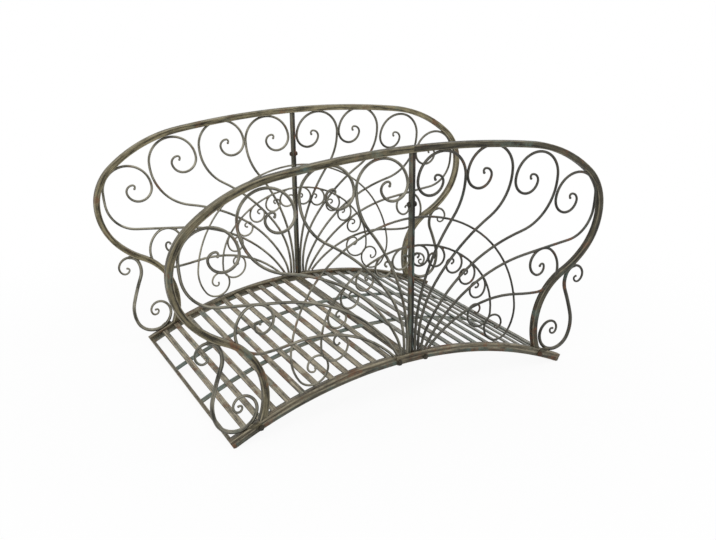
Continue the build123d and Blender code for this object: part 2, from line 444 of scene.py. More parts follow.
FRAME_LIGHT_TONES = {"near_left": 0.92, "near_right": 0.67, "far_left": 1.12, "far_right": 1.18}
ROD_LIGHT_TONES = {"near_left": 1.02, "near_right": 0.62, "far_left": 1.20, "far_right": 1.0}
POST_LIGHT_TONES = {"near_left": 0.84, "near_right": 0.32, "far_left": 0.95, "far_right": 0.5}
FRAME_WEAR = {"rust": 0.14, "dust": 0.0, "shade": 0.0, "reach": 0.004}
# The rods take strong painted shade on their sides and undersides
ROD_WEAR_AND_SHADE = {
    "rust": 0.1, "bloom": 0.06, "wear": 0.0, "matt": 0.36, "shade": 0.85, "open_at": 0.35, "closed_at": -0.6
}
# The posts take a line of painted shade where their two halves meet
POST_WEAR_AND_SHADE = {"bloom": 0.2, "dust": 0.0, "shade": 0.0, "reach": 0.0014, "seam": 0.0016}
frame_paints, rod_paints, post_paints = {}, {}, {}
for turn, quarter in enumerate(FRAME_LIGHT_TONES):
    tone = FRAME_LIGHT_TONES[quarter]
    shades = toned(32, 28, 18, tone), toned(126, 118, 92, tone)
    frame_paints[quarter] = painted_iron(
        "frame_paint_" + quarter, *shades, (turn, 0, 0), wear=0.9 * tone, **FRAME_WEAR
    )
    tone = ROD_LIGHT_TONES[quarter]
    shades = toned(46, 45, 37, tone), toned(146, 142, 126, tone)
    rod_paints[quarter] = painted_iron("rod_paint_" + quarter, *shades, (turn, 5, 0), **ROD_WEAR_AND_SHADE)
    tone = POST_LIGHT_TONES[quarter]
    shades = toned(40, 39, 30, tone), toned(118, 114, 96, tone)
    post_paints[quarter] = painted_iron(
        "post_paint_" + quarter, *shades, (4, turn, 0), wear=0.4 * tone, **POST_WEAR_AND_SHADE
    )

# %% Paints of the deck
BASE_PAINT = painted_iron(
    "base_paint", colour(44, 39, 29), colour(124, 115, 94), (1, 3, 0), dust=0.15, wear=0.9
)
# The slats' corners and side faces are painted dark as painted shade
SLAT_EDGES = {"edge": SLAT_EDGE_SHADE, "reach": 0.0028}
slat_paints = {
    "left": painted_iron(
        "slat_paint_left", colour(62, 56, 43), colour(184, 174, 149), (0, 0, 6),
        rust=0.25, bloom=0.24, shade=0.95, **SLAT_EDGES
    ),
    "right": painted_iron(
        "slat_paint_right", colour(46, 46, 41), colour(160, 160, 149), (3, 0, 6),
        rust=0.14, bloom=0.3, shade=1.0, **SLAT_EDGES
    ),
}
RAIL_PAINT = painted_iron(
    "side_rail_paint", colour(40, 38, 30), colour(106, 101, 86), (2, 2, 2), rust=0.22, bloom=0.3, dust=0.1
)
RUNNER_PAINT = painted_iron(
    "runner_paint", colour(62, 68, 62), colour(122, 128, 116), (7, 1, 1), rust=0.08, bloom=0.45, dust=0.1
)
RAW_EDGES = {"bloom": 0.0, "dust": 0.1, "wear": 0.0}
WELD_PAINT = painted_iron(
    "weld_paint", colour(30, 28, 22), colour(84, 80, 66), (6, 2, 5), rust=0.5, **RAW_EDGES
)
BOLT_PAINT = painted_iron(
    "bolt_paint", colour(24, 22, 17), colour(74, 69, 57), (1, 8, 3), rust=0.25, **RAW_EDGES
)
print(sum("_paint" in m.name for m in bpy.data.materials), "paints")

# %% [markdown]
# ## The drawing of the scrollwork
# A smith bends each rod cold round a jig, so every scroll is a chain of arcs that meet without
# a corner. Free-hand splines would give soft, uneven spirals. A list of (radius, turn) pairs
# gives the jig's own curve, in the same hundredths of the half deck that the solids use.

# %% Runs of bent bar
HANDRAIL = (
    (0, 102.55),
    0,
    [(492.8, -8.2), (75.4, -32.9), (27.4, -48), (32.9, -42.7), (47.0, -22.1), (30.9, 45.6), (36.4, 54)],
)
LOOP_BENDS = [(13.2, 92), (14.0, 82), (7.5, 82), (7.0, 89), (3.5, 106), (1.3, 130)]
FAN_STEMS = [
    ((29.9, 86.9), -90, [(33.8, -37.5), (99.8, 16.9), (101.3, 23.4)]),
    ((58.2, 86.9), -90, [(26.7, -59.3), (101.6, 24.4), (53.6, 39.2)]),
    ((87.5, 80.4), -90, [(27.8, -77.7), (93.8, 14.7), (78.1, 36.4), (28.1, 22.4)]),
    ((114.3, 66.8), -90, [(60.6, -7.1), (18.2, -76.8), (1698, 1), (84.6, 22), (77, 31.7)]),
]
LOW_STEM = ((87.45, 21), -137.5, [(13.7, -45.5), (107.7, -7), (59.4, 57.9)])
NECK_SCROLL = ((90.5, 24.15), 69.7, [(14, 67.4), (8.5, 108.3), (6.9, 87.1), (3.8, 135), (1.3, 150)])
INNER_ARC = (
    (0, 55.3),
    0,
    [(52.3, -54.9), (33.8, -38.8), (7, -121), (7.5, -77.6), (4.15, -84.4), (2.7, -127), (1.2, -100)],
)
OUTER_ARC = (
    (0, 69.4),
    0,
    [(67.3, -37.5), (60.9, -46.6), (22.3, -40.8), (8.3, -164.8), (5.3, -155.4), (2.9, -90.6), (1.3, -120)],
)
SMALL_SCROLL_BENDS = [(7, -68), (4.6, -95), (4.6, -100), (2.4, -105), (1.2, -140)]
SMALL_SCROLL_STARTS = [
    ((3.5, 55.25), -2), ((14.0, 53.6), -12), ((25.75, 48.5), -23.4), ((35.4, 40.7), -38), ((43.5, 31.4), -52)
]
END_SCROLL_START = (104.2, 27.7)
END_SCROLL_DOWN = [
    (5.7, 61.2), (11.85, 50.7), (125.6, -6.9), (19.8, -38.2), (10.3, -148.6),
    (7.5, -71.1), (5.15, -94.4), (3.9, -57.5), (2.0, -151), (1.1, -120),
]
END_SCROLL_UP = [(6, -72), (4.4, -75), (2.5, -105), (1.2, -110)]


LONGEST_STEP = 0.03


def follow(run, flat):
    """Points (x, z) along a run in metres, with a point at least every few degrees of bend."""
    (x, z), heading, bends = run
    x, z = x * UNIT, CROWN + z * UNIT
    points = [(x, z)]
    for share, turn in bends:
        radius, side = share * UNIT, (1 if turn > 0 else -1)
        centre = (x - radius * side * sin(radians(heading)), z + radius * side * cos(radians(heading)))
        steps = max(ceil(abs(turn) / flat), ceil(radians(abs(turn)) * radius / LONGEST_STEP))
        for step in range(1, steps + 1):
            angle = radians(heading + turn * step / steps)
            points.append((centre[0] + radius * side * sin(angle), centre[1] - radius * side * cos(angle)))
        heading += turn
        x, z = points[-1]
    return points


handrail_line = follow(HANDRAIL, 2.5)
print("handrail line:", len(handrail_line), "points, down to", round(handrail_line[-1][1] * 1000), "mm")

# %% [markdown]
# ## Round rods by Geometry Nodes
# The scroll rods are drawn steel of 7 and 9 mm, round along the stem and hammered a little
# thinner towards the curl, which ends in a small knob. Lofting each by hand would be slow, so
# one node tree sweeps a circle along any set of lines, reads how thick each point is, and puts
# a knob on the points marked as tips.

# %% Values stored on the geometry
def store(tree, geometry, name, value, kind="FLOAT_VECTOR"):
    """Geometry with a value stored on its points."""
    values = {"Geometry": geometry, "Name": name, "Value": value}
    return result(tree, "GeometryNodeStoreNamedAttribute", values, data_type=kind)


def stored(tree, name, kind="FLOAT"):
    """Value that the geometry carries."""
    return result(tree, "GeometryNodeInputNamedAttribute", {"Name": name}, data_type=kind)


def marked(tree, geometry, grain, half=(1.0, 1.0, 1.0)):
    """Geometry that stores its place along and across the bar, and half of the bar's section."""
    return store(tree, store(tree, geometry, "grain", grain), "half", half)


def swept_bar(tree, line, section, across=1.0, scale=None):
    """Section swept along a line, with its grain: metres along, then the section's own x and y."""
    length = add(tree, "GeometryNodeSplineParameter").outputs["Length"]
    line = store(tree, line, "along", length, "FLOAT")
    section = store(tree, section, "across", result(tree, "GeometryNodeInputPosition"))
    values = {"Curve": line, "Profile Curve": section, "Fill Caps": True}
    swept = add(tree, "GeometryNodeCurveToMesh", values)
    if scale is not None and "Scale" in swept.inputs:
        tree.links.new(scale, swept.inputs["Scale"])
    side = split(tree, stored(tree, "across", "FLOAT_VECTOR"))
    x, y = [calc(tree, "MULTIPLY", side[axis], across) for axis in (0, 1)]
    return swept.outputs[0], xyz(tree, stored(tree, "along"), x, y)


# %% Helpers for the geometry trees
def shaded(tree, geometry, smooth=True):
    """Geometry with smooth or flat faces."""
    return result(tree, "GeometryNodeSetShadeSmooth", {"Geometry": geometry, "Shade Smooth": smooth})


def real(tree, instances):
    """Instances made into real geometry."""
    return result(tree, "GeometryNodeRealizeInstances", {"Geometry": instances})


def joined(tree, *parts):
    """Several geometries as one."""
    join = add(tree, "GeometryNodeJoinGeometry")
    for part in parts:
        tree.links.new(part, join.inputs[0])
    return join.outputs[0]


def rolled_section(tree, width, height, corner, steps):
    """Rectangle with round corners, as rolled bar has."""
    sides = {"Width": width, "Height": height}
    values = {
        "Curve": result(tree, "GeometryNodeCurvePrimitiveQuadrilateral", sides),
        "Radius": corner,
        "Count": steps,
    }
    return result(tree, "GeometryNodeFilletCurve", values, mode="POLY")


def geometry_tree(name, sizes):
    """Geometry tree with its named sizes between the mesh it takes and its paint."""
    inputs = {"Geometry": "Geometry", **sizes, "Material": "Material"}
    return group_tree("GeometryNodeTree", name, inputs, {"Geometry": "Geometry"})


def dressed(tree, given, out, geometry):
    """End of every tree: real geometry with its paint."""
    values = {"Geometry": real(tree, geometry), "Material": given["Material"]}
    tree.links.new(result(tree, "GeometryNodeSetMaterial", values), out["Geometry"])
    return tree


# %% The round-rod tree
def round_rod_tree():
    """Rods of round section along lines, with a knob on each tip."""
    sizes = {"Rod Radius": FAN_ROD_RADIUS, "Sides": 12, "Knob": 1.35}
    tree, given, out = geometry_tree("round_rod", sizes)
    line = result(tree, "GeometryNodeMeshToCurve", {"Mesh": given["Geometry"]})
    radius = calc(tree, "MULTIPLY", stored(tree, "thick"), given["Rod Radius"])
    sized = result(tree, "GeometryNodeSetCurveRadius", {"Curve": line, "Radius": radius})
    ring = result(tree, "GeometryNodeCurvePrimitiveCircle", {"Resolution": given["Sides"], "Radius": 1.0})
    own_radius = result(tree, "GeometryNodeInputRadius")
    rod = marked(tree, *swept_bar(tree, sized, ring, given["Rod Radius"], own_radius))
    knob_radius = calc(tree, "MULTIPLY", given["Rod Radius"], given["Knob"])
    ball = result(tree, "GeometryNodeMeshIcoSphere", {"Radius": knob_radius, "Subdivisions": 2})
    knob = marked(tree, ball, result(tree, "GeometryNodeInputPosition"))
    tips = {"Points": given["Geometry"], "Selection": stored(tree, "tip", "BOOLEAN"), "Instance": knob}
    knobs = result(tree, "GeometryNodeInstanceOnPoints", tips)
    smooth = shaded(tree, joined(tree, knobs, rod))
    return dressed(tree, given, out, smooth)


ROUND_ROD = round_rod_tree()
print("round_rod tree:", len(ROUND_ROD.nodes), "nodes")


# %% Running a tree on a set of lines
def lines_mesh(name, lines):
    """Mesh of loose edges. Each line is (points, thickness of each point, has a tip)."""
    vertices, edges, thick, tips = [], [], [], []
    for points, sizes, tipped in lines:
        first = len(vertices)
        vertices += points
        edges += [(first + i, first + i + 1) for i in range(len(points) - 1)]
        thick += sizes
        tips += [False] * (len(points) - 1) + [tipped]
    mesh = bpy.data.meshes.new(name)
    mesh.from_pydata(vertices, edges, [])
    mesh.attributes.new("thick", "FLOAT", "POINT").data.foreach_set("value", thick)
    mesh.attributes.new("tip", "BOOLEAN", "POINT").data.foreach_set("value", tips)
    return mesh


def grown(name, mesh, tree, values):
    """Plain mesh object made by running a geometry tree on a mesh with the given inputs."""
    source = new_object(name + "_lines", mesh)
    modifier = source.modifiers.new("grow", "NODES")
    modifier.node_group = tree
    for item in tree.interface.items_tree:
        if item.item_type == "SOCKET" and item.in_out == "INPUT" and item.name in values:
            modifier[item.identifier] = values[item.name]
    seen = source.evaluated_get(bpy.context.evaluated_depsgraph_get())
    made = new_object(name, bpy.data.meshes.new_from_object(seen))
    bpy.data.objects.remove(source)
    made.data.name = name
    return made


def placed(points, quarter, y):
    """Points of the near right quarter moved to any quarter, y being the depth from the middle."""
    x_sign, near = QUARTERS[quarter]
    return [(x * x_sign, -y * near, z) for x, z in points]


def hammered(points, thin_over, end):
    """Thickness of each point: full along the rod, and thinner over its last stretch."""
    left = [0.0]
    for a, b in zip(reversed(points[:-1]), reversed(points[1:])):
        left.append(left[-1] + sqrt((a[0] - b[0]) ** 2 + (a[1] - b[1]) ** 2))
    left.reverse()
    return [end + (1 - end) * min(1.0, d / thin_over) for d in left]


# %% [markdown]
# ## Scroll panels
# Each quarter of the bridge has the same panel, turned round. The fan of stems and loops lies
# in the outer layer, the two arcs and their small scrolls lie behind it, and a heavier scroll
# fills the corner by the deck's end. The left panels take the right one's points with x
# reversed, which keeps every tube's faces turned outwards.

# %% Fan, arc and end scrolls
def fan_runs():
    """Runs of the outer layer as (run, curl at its end)."""
    runs = [(LOW_STEM, False), (NECK_SCROLL, True)]
    for start, heading, bends in FAN_STEMS:
        runs += [((start, heading, bends), False), ((start, -heading, LOOP_BENDS), True)]
    return runs


def arc_runs():
    """Runs of the inner layer as (run, curl at its end)."""
    small = [((start, heading, SMALL_SCROLL_BENDS), True) for start, heading in SMALL_SCROLL_STARTS]
    return [(INNER_ARC, True), (OUTER_ARC, True)] + small


END_RUNS = [((END_SCROLL_START, 180, END_SCROLL_DOWN), True), ((END_SCROLL_START, 0, END_SCROLL_UP), True)]
PANEL = {
    "fan_scrolls": (fan_runs(), RAIL_Y + FAN_ROD_RADIUS, FAN_ROD_RADIUS),
    "arc_scrolls": (arc_runs(), RAIL_Y - ARC_ROD_RADIUS, ARC_ROD_RADIUS),
    "end_scroll": (END_RUNS, RAIL_Y, SCROLL_RADIUS),
}
# Degrees of bend between points, sides of the rod, and how long and how thin its end is drawn
MAKING = {
    "fan_scrolls": (6.0, 10, 0.10, 0.78),
    "arc_scrolls": (7.0, 10, 0.06, 0.85),
    "end_scroll": (5.0, 14, 0.26, 0.5),
}
KNOB_SHARE = 1.3
rods = {}
for layer, (runs, y, radius) in PANEL.items():
    degrees_each, sides, drawn_over, drawn_to = MAKING[layer]
    for quarter in QUARTERS:
        lines = []
        for run, curled in runs:
            flat = follow(run, degrees_each)
            sizes = hammered(flat, drawn_over, drawn_to) if curled else [1.0] * len(flat)
            lines.append((placed(flat, quarter, y), sizes, curled))
        name = f"{layer}_{quarter}"
        values = {"Rod Radius": radius, "Sides": sides, "Knob": KNOB_SHARE * drawn_to}
        values["Material"] = rod_paints[quarter]
        rods[name] = grown(name + "_rods", lines_mesh(name, lines), ROUND_ROD, values)
print(len(rods), "scroll pieces,", sum(len(o.data.polygons) for o in rods.values()), "faces")

# %% [markdown]
# ## The handrail
# The frame is 20 mm square bar, and rolled bar has corners of a millimetre or two, which catch
# a thin line of light. A bevel on the solid would do, but sweeping a rounded square keeps the
# corner the same round every bend, and leaves clean strips of faces.

# %% The square-bar tree
def square_bar_tree():
    """Square bar with round corners along lines."""
    sizes = {"Width": BAR, "Corner": 0.0018, "Sharp Above": SHARP_ANGLE}
    tree, given, out = geometry_tree("square_bar", sizes)
    line = result(tree, "GeometryNodeMeshToCurve", {"Mesh": given["Geometry"]})
    section = rolled_section(tree, given["Width"], given["Width"], given["Corner"], 3)
    bar, grain = swept_bar(tree, line, section)
    half = calc(tree, "MULTIPLY", given["Width"], 0.5)
    smooth = shaded(tree, marked(tree, bar, grain, xyz(tree, half, half, half)))
    bend = add(tree, "GeometryNodeInputMeshEdgeAngle").outputs["Unsigned Angle"]
    hard = calc(tree, "GREATER_THAN", bend, given["Sharp Above"])
    values = {"Geometry": smooth, "Selection": hard, "Shade Smooth": False}
    creased = result(tree, "GeometryNodeSetShadeSmooth", values, domain="EDGE")
    return dressed(tree, given, out, creased)


SQUARE_BAR = square_bar_tree()


# %% Four handrails
FOOT_X = 0.503
FOOT_SINK = 0.001


def deck_point(radius, x):
    """Height of one of the deck's arcs at x."""
    return ARC_CENTRE + sqrt(radius * radius - x * x)


def cut_on_deck(piece, x_sign):
    """Trim the foot of a handrail to the arc of the base bar and close it."""
    shape = bmesh.new()
    shape.from_mesh(piece.data)
    foot = Vector((FOOT_X * x_sign, 0.0, deck_point(BASE_TOP_RADIUS, FOOT_X) - FOOT_SINK))
    outwards = Vector((FOOT_X * x_sign, 0.0, foot.z - ARC_CENTRE))
    everything = shape.verts[:] + shape.edges[:] + shape.faces[:]
    cut = bmesh.ops.bisect_plane(shape, geom=everything, plane_co=foot, plane_no=outwards, clear_inner=True)
    rim = [item for item in cut["geom_cut"] if isinstance(item, bmesh.types.BMEdge)]
    bmesh.ops.contextual_create(shape, geom=rim)
    shape.to_mesh(piece.data)
    shape.free()


handrails = {}
for quarter, (x_sign, near) in QUARTERS.items():
    path = placed(handrail_line, quarter, RAIL_Y)
    mesh = lines_mesh("handrail_" + quarter, [(path, [1.0] * len(path), False)])
    values = {"Width": BAR, "Material": frame_paints[quarter]}
    handrails[quarter] = grown("handrail_bar_" + quarter, mesh, SQUARE_BAR, values)
    cut_on_deck(handrails[quarter], x_sign)
print(len(handrails), "handrails of", len(handrails["near_right"].data.polygons), "faces each")

# %% [markdown]
# ## Slats
# The walkway is cut from flat bar, each piece laid across the angle irons and welded. They are
# all alike and sit at even steps along an arc, which is a job for instances. The tree places
# points by angle, turns one slat to lie along the arc, and jogs each a little, as hand work does.

# %% Sizes of the slats
SLAT_COUNT = 11
SLAT_STEP = 0.050 / FLANGE_RADIUS
FIRST_SLAT = 0.067 / FLANGE_RADIUS
SLAT_SEED = 5
GRAIN_STEP = 1.7
slat_low, slat_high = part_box("deck_slats_right")
SLAT_LENGTH = slat_high.y - slat_low.y
SLAT_WIDTH = 0.019
SLAT_THICKNESS = 0.005
print(SLAT_COUNT, "slats of", round(SLAT_LENGTH * 1000), "mm in each half")


# %% The slat tree
def jogged(tree, given, x):
    """The x of each slat, moved a little at random."""
    jog = add(tree, "FunctionNodeRandomValue", {"Seed": given["Seed"]}, data_type="FLOAT")
    low, high = [s for s in jog.inputs if s.enabled and s.name in ("Min", "Max")]
    tree.links.new(calc(tree, "MULTIPLY", given["Jog"], -1.0), low)
    tree.links.new(given["Jog"], high)
    drawn = next(s for s in jog.outputs if s.enabled)
    return calc(tree, "ADD", x, drawn)


def slat_bar(tree, given):
    """One slat across the bridge, and its grain."""
    half = calc(tree, "MULTIPLY", given["Length"], 0.5)
    back = xyz(tree, 0.0, calc(tree, "MULTIPLY", half, -1.0), 0.0)
    ends = {"Start": back, "End": xyz(tree, 0.0, half, 0.0)}
    line = result(tree, "GeometryNodeCurvePrimitiveLine", ends)
    section = rolled_section(tree, given["Width"], given["Thickness"], given["Corner"], 2)
    return swept_bar(tree, line, section)


def slat_tree():
    """Slats at even steps along the deck's arc."""
    sizes = {
        "Count": SLAT_COUNT,
        "First Angle": FIRST_SLAT,
        "Step Angle": SLAT_STEP,
        "Arc Radius": FLANGE_RADIUS + SLAT_THICKNESS / 2,
        "Arc Centre": ARC_CENTRE,
        "Length": SLAT_LENGTH,
        "Width": SLAT_WIDTH,
        "Thickness": SLAT_THICKNESS,
        "Corner": 0.0009,
        "Jog": 0.0004,
        "Seed": SLAT_SEED,
    }
    tree, given, out = geometry_tree("deck_slats", sizes)
    index = result(tree, "GeometryNodeInputIndex")
    along = calc(tree, "MULTIPLY_ADD", index, given["Step Angle"], given["First Angle"])
    x = calc(tree, "MULTIPLY", calc(tree, "SINE", along), given["Arc Radius"])
    rise = calc(tree, "COSINE", along)
    z = calc(tree, "MULTIPLY_ADD", rise, given["Arc Radius"], given["Arc Centre"])
    spots = {"Count": given["Count"], "Position": xyz(tree, jogged(tree, given, x), 0.0, z)}
    points = result(tree, "GeometryNodePoints", spots)
    bar, grain = slat_bar(tree, given)
    slats = result(tree, "GeometryNodeInstanceOnPoints", {"Points": points, "Instance": bar})
    turns = {"Instances": slats, "Rotation": xyz(tree, 0.0, along, 0.0)}
    turned = real(tree, result(tree, "GeometryNodeRotateInstances", turns))
    island = add(tree, "GeometryNodeInputMeshIsland").outputs["Island Index"]
    apart = xyz(tree, calc(tree, "MULTIPLY", island, GRAIN_STEP), 0.0, 0.0)
    whole = xyz(tree, 1.0, given["Width"], given["Thickness"])
    half = vector_calc(tree, "MULTIPLY", whole, (1.0, 0.5, 0.5))
    kept = marked(tree, shaded(tree, turned, False), vector_calc(tree, "ADD", grain, apart), half)
    return dressed(tree, given, out, kept)


# %% Both halves of the deck
SLATS = slat_tree()
decks = {}
for side, sign in (("right", 1), ("left", -1)):
    values = {"First Angle": sign * FIRST_SLAT, "Step Angle": sign * SLAT_STEP}
    values |= {"Seed": SLAT_SEED + sign, "Material": slat_paints[side]}
    name = "slats_" + side
    decks[side] = grown(name, bpy.data.meshes.new(name), SLATS, values)
    print(name, len(decks[side].data.polygons), "faces, box", [round(v, 3) for v in decks[side].dimensions])


# %% [markdown]
# ## Bars of the deck and the posts
# Angle iron, flat runners and posts are simple sections whose solids already have the right
# shape, only with knife-sharp edges. A copy of each solid is merged into clean faces and gets
# a small bevel, so its edges shine and wear as rolled steel does.

# %% How each bar runs
def along_arc(point):
    """Place on a bar that follows the deck: along the arc, across the bridge, up."""
    angle = atan2(point.x, point.z - ARC_CENTRE)
    return angle * FLANGE_RADIUS, point.y, sqrt(point.x ** 2 + (point.z - ARC_CENTRE) ** 2)


def along_width(point):
    """Place on a bar that runs across the bridge."""
    arc, y, radius = along_arc(point)
    return y, arc, radius


def along_height(point):
    """Place on an upright bar."""
    return point.z, point.x, point.y


def mark_mesh(mesh, along):
    """Store grain and half on a mesh whose place along the bar a function gives."""
    rows = [along(v.co) for v in mesh.vertices]
    middle, half = [0.0], [1.0]
    for axis in (1, 2):
        values = [row[axis] for row in rows]
        middle.append((max(values) + min(values)) / 2)
        half.append((max(values) - min(values)) / 2)
    grain = [row[axis] - middle[axis] for row in rows for axis in range(3)]
    mesh.attributes.new("grain", "FLOAT_VECTOR", "POINT").data.foreach_set("vector", grain)
    mesh.attributes.new("half", "FLOAT_VECTOR", "POINT").data.foreach_set("vector", half * len(rows))


# %% Softened copies of the solids
MERGE_REACH = 1e-6
FLAT_ANGLE = radians(0.2)
BEVEL_ANGLE = radians(35)


def softened(node, width, along):
    """Bevelled copy of a CAD node's solid, as a plain mesh object."""
    made = new_object(node + "_bar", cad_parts[node].data.copy())
    made.data.materials.clear()
    shape = bmesh.new()
    shape.from_mesh(made.data)
    bmesh.ops.remove_doubles(shape, verts=shape.verts, dist=MERGE_REACH)
    bmesh.ops.dissolve_limit(shape, angle_limit=FLAT_ANGLE, verts=shape.verts, edges=shape.edges)
    shape.to_mesh(made.data)
    shape.free()
    bevel = made.modifiers.new("bevel", "BEVEL")
    bevel.width = width
    bevel.segments = 2
    bevel.limit_method = "ANGLE"
    bevel.angle_limit = BEVEL_ANGLE
    seen = made.evaluated_get(bpy.context.evaluated_depsgraph_get())
    flat = bpy.data.meshes.new_from_object(seen)
    made.modifiers.clear()
    made.data = flat
    flat.shade_smooth()
    flat.set_sharp_from_angle(angle=SHARP_ANGLE)
    mark_mesh(flat, along)
    return made


HALVES, SIDES = ("right", "left"), ("near", "far")
# Each kind of bar: its places, its rolled corner, the way it runs, its paint and its slot
BARS = {
    "base_bar": (QUARTERS, 0.0014, along_arc, BASE_PAINT, "railing_iron"),
    "side_rail": (QUARTERS, 0.0008, along_arc, RAIL_PAINT, "deck_iron"),
    "half_post": (QUARTERS, 0.0016, along_height, post_paints, "railing_iron"),
    "end_bar": (HALVES, 0.0012, along_width, BASE_PAINT, "deck_iron"),
    "centre_bar": (HALVES, 0.0012, along_width, BASE_PAINT, "deck_iron"),
    "runners": (HALVES, 0.0007, along_arc, RUNNER_PAINT, "runner_iron"),
    "foot_plate": (SIDES, 0.0008, along_arc, BASE_PAINT, "deck_iron"),
}
bars = {
    f"{kind}_{place}": softened(f"{kind}_{place}", corner, along)
    for kind, (places, corner, along, _, _) in BARS.items() for place in places
}
print(len(bars), "bars,", sum(len(o.data.polygons) for o in bars.values()), "faces")

# %% [markdown]
# ## Weld beads
# Wherever two rods touch, the smith left a small bead, and the paint over it is lumpy. Placing
# hundreds of them by eye would be endless, so the script looks for the places where two runs
# come close, and a node tree puts a squashed and roughened ball on each.

# %% Places where runs touch
SAMPLE_STEP = 0.004
SEARCH_REACH = 0.018
CONTACT_GAP = 0.0012
BEAD_SPACING = 0.016
LOWEST_BEAD = CROWN - 0.135


def samples_along(number, points, radius, y):
    """Close points along one run as (place, rod radius, number of the run, heading)."""
    samples = []
    for a, b in zip(points, points[1:]):
        pieces = max(1, ceil(sqrt((a[0] - b[0]) ** 2 + (a[1] - b[1]) ** 2) / SAMPLE_STEP))
        heading = atan2(b[1] - a[1], b[0] - a[0])
        for step in range(pieces):
            share = step / pieces
            at = Vector((a[0] + (b[0] - a[0]) * share, y, a[1] + (b[1] - a[1]) * share))
            samples.append((at, radius, number, heading))
    return samples


def touching_places():
    """Middle and heading of each contact in a panel."""
    lines = [(handrail_line, BAR / 2, RAIL_Y)]
    for runs, y, radius in PANEL.values():
        lines += [(follow(run, 5.0), radius, y) for run, _ in runs]
    samples = [sample for number, line in enumerate(lines) for sample in samples_along(number, *line)]
    tree = kdtree.KDTree(len(samples))
    for index, sample in enumerate(samples):
        tree.insert(sample[0], index)
    tree.balance()
    close = []
    for at, radius, number, _ in samples:
        for _, index, distance in tree.find_range(at, SEARCH_REACH):
            other, other_radius, other_number, other_heading = samples[index]
            gap = distance - radius - other_radius
            if other_number > number and gap < CONTACT_GAP:
                close.append((gap, at.lerp(other, radius / (radius + other_radius)), other_heading))
    close.sort(key=lambda item: item[0])
    kept = []
    for _, at, heading in close:
        if at.z > LOWEST_BEAD and all((at - seen).length > BEAD_SPACING for seen, _ in kept):
            kept.append((at, heading))
    return kept


contacts = touching_places()
print(len(contacts), "contacts in each panel")


# %% The bead tree
BEAD_SEED = 3


def bead_tree():
    """A squashed and roughened ball on each point, turned to its heading."""
    sizes = {"Bead Radius": 0.0036, "Long By": 1.7, "Roughness": 0.0006, "Seed": BEAD_SEED}
    tree, given, out = geometry_tree("weld_beads", sizes)
    ball = result(tree, "GeometryNodeMeshIcoSphere", {"Radius": given["Bead Radius"], "Subdivisions": 2})
    size = xyz(tree, given["Long By"], 1.0, 1.0)
    values = {"Points": given["Geometry"], "Instance": ball, "Scale": size}
    beads = result(tree, "GeometryNodeInstanceOnPoints", values)
    turn = xyz(tree, 0.0, calc(tree, "MULTIPLY", stored(tree, "heading"), -1.0), 0.0)
    turned = result(tree, "GeometryNodeRotateInstances", {"Instances": beads, "Rotation": turn})
    lumps = result(tree, "ShaderNodeTexNoise", {"W": given["Seed"], "Scale": 260.0}, noise_dimensions="4D")
    push = calc(tree, "MULTIPLY", calc(tree, "SUBTRACT", lumps, 0.5), given["Roughness"])
    outwards = {0: result(tree, "GeometryNodeInputNormal"), "Scale": push}
    moved = result(tree, "ShaderNodeVectorMath", outwards, operation="SCALE")
    values = {"Geometry": real(tree, turned), "Offset": moved}
    rough = result(tree, "GeometryNodeSetPosition", values)
    kept = marked(tree, shaded(tree, rough), result(tree, "GeometryNodeInputPosition"))
    return dressed(tree, given, out, kept)


BEADS = bead_tree()


# %% Beads on every panel
def point_mesh(name, places, **attributes):
    """Mesh of loose points with float attributes."""
    mesh = bpy.data.meshes.new(name)
    mesh.from_pydata(places, [], [])
    for key, values in attributes.items():
        mesh.attributes.new(key, "FLOAT", "POINT").data.foreach_set("value", values)
    return mesh


welds = {}
for quarter, (x_sign, near) in QUARTERS.items():
    places = [(at.x * x_sign, -at.y * near, at.z) for at, _ in contacts]
    headings = [heading * x_sign for _, heading in contacts]
    mesh = point_mesh("welds_" + quarter, places, heading=headings)
    values = {"Seed": BEAD_SEED + x_sign + 2 * near, "Material": WELD_PAINT}
    welds[quarter] = grown("weld_beads_" + quarter, mesh, BEADS, values)
print(len(welds), "sets of beads,", len(welds["near_right"].data.polygons), "faces each")

# %% [markdown]
# ## Bolts and foot tabs
# The bridge travels flat and is bolted up: through the posts at mid-span, through the plates
# under them, and through a tab at the foot of each handrail. A hexagon head with a washer and
# a short thread end is one instance, turned on each point to face along its hole.

# %% The bolt tree
THREAD_WIDTH_SHARE = 0.48
THREAD_HEIGHT_SHARE = 0.4


def disc(tree, sides, radius, height, base):
    """Upright cylinder that stands at a height."""
    values = {"Vertices": sides, "Radius": radius, "Depth": height}
    upright = result(tree, "GeometryNodeMeshCylinder", values)
    lift = xyz(tree, 0.0, 0.0, calc(tree, "MULTIPLY_ADD", height, 0.5, base))
    return result(tree, "GeometryNodeTransform", {"Geometry": upright, "Translation": lift})


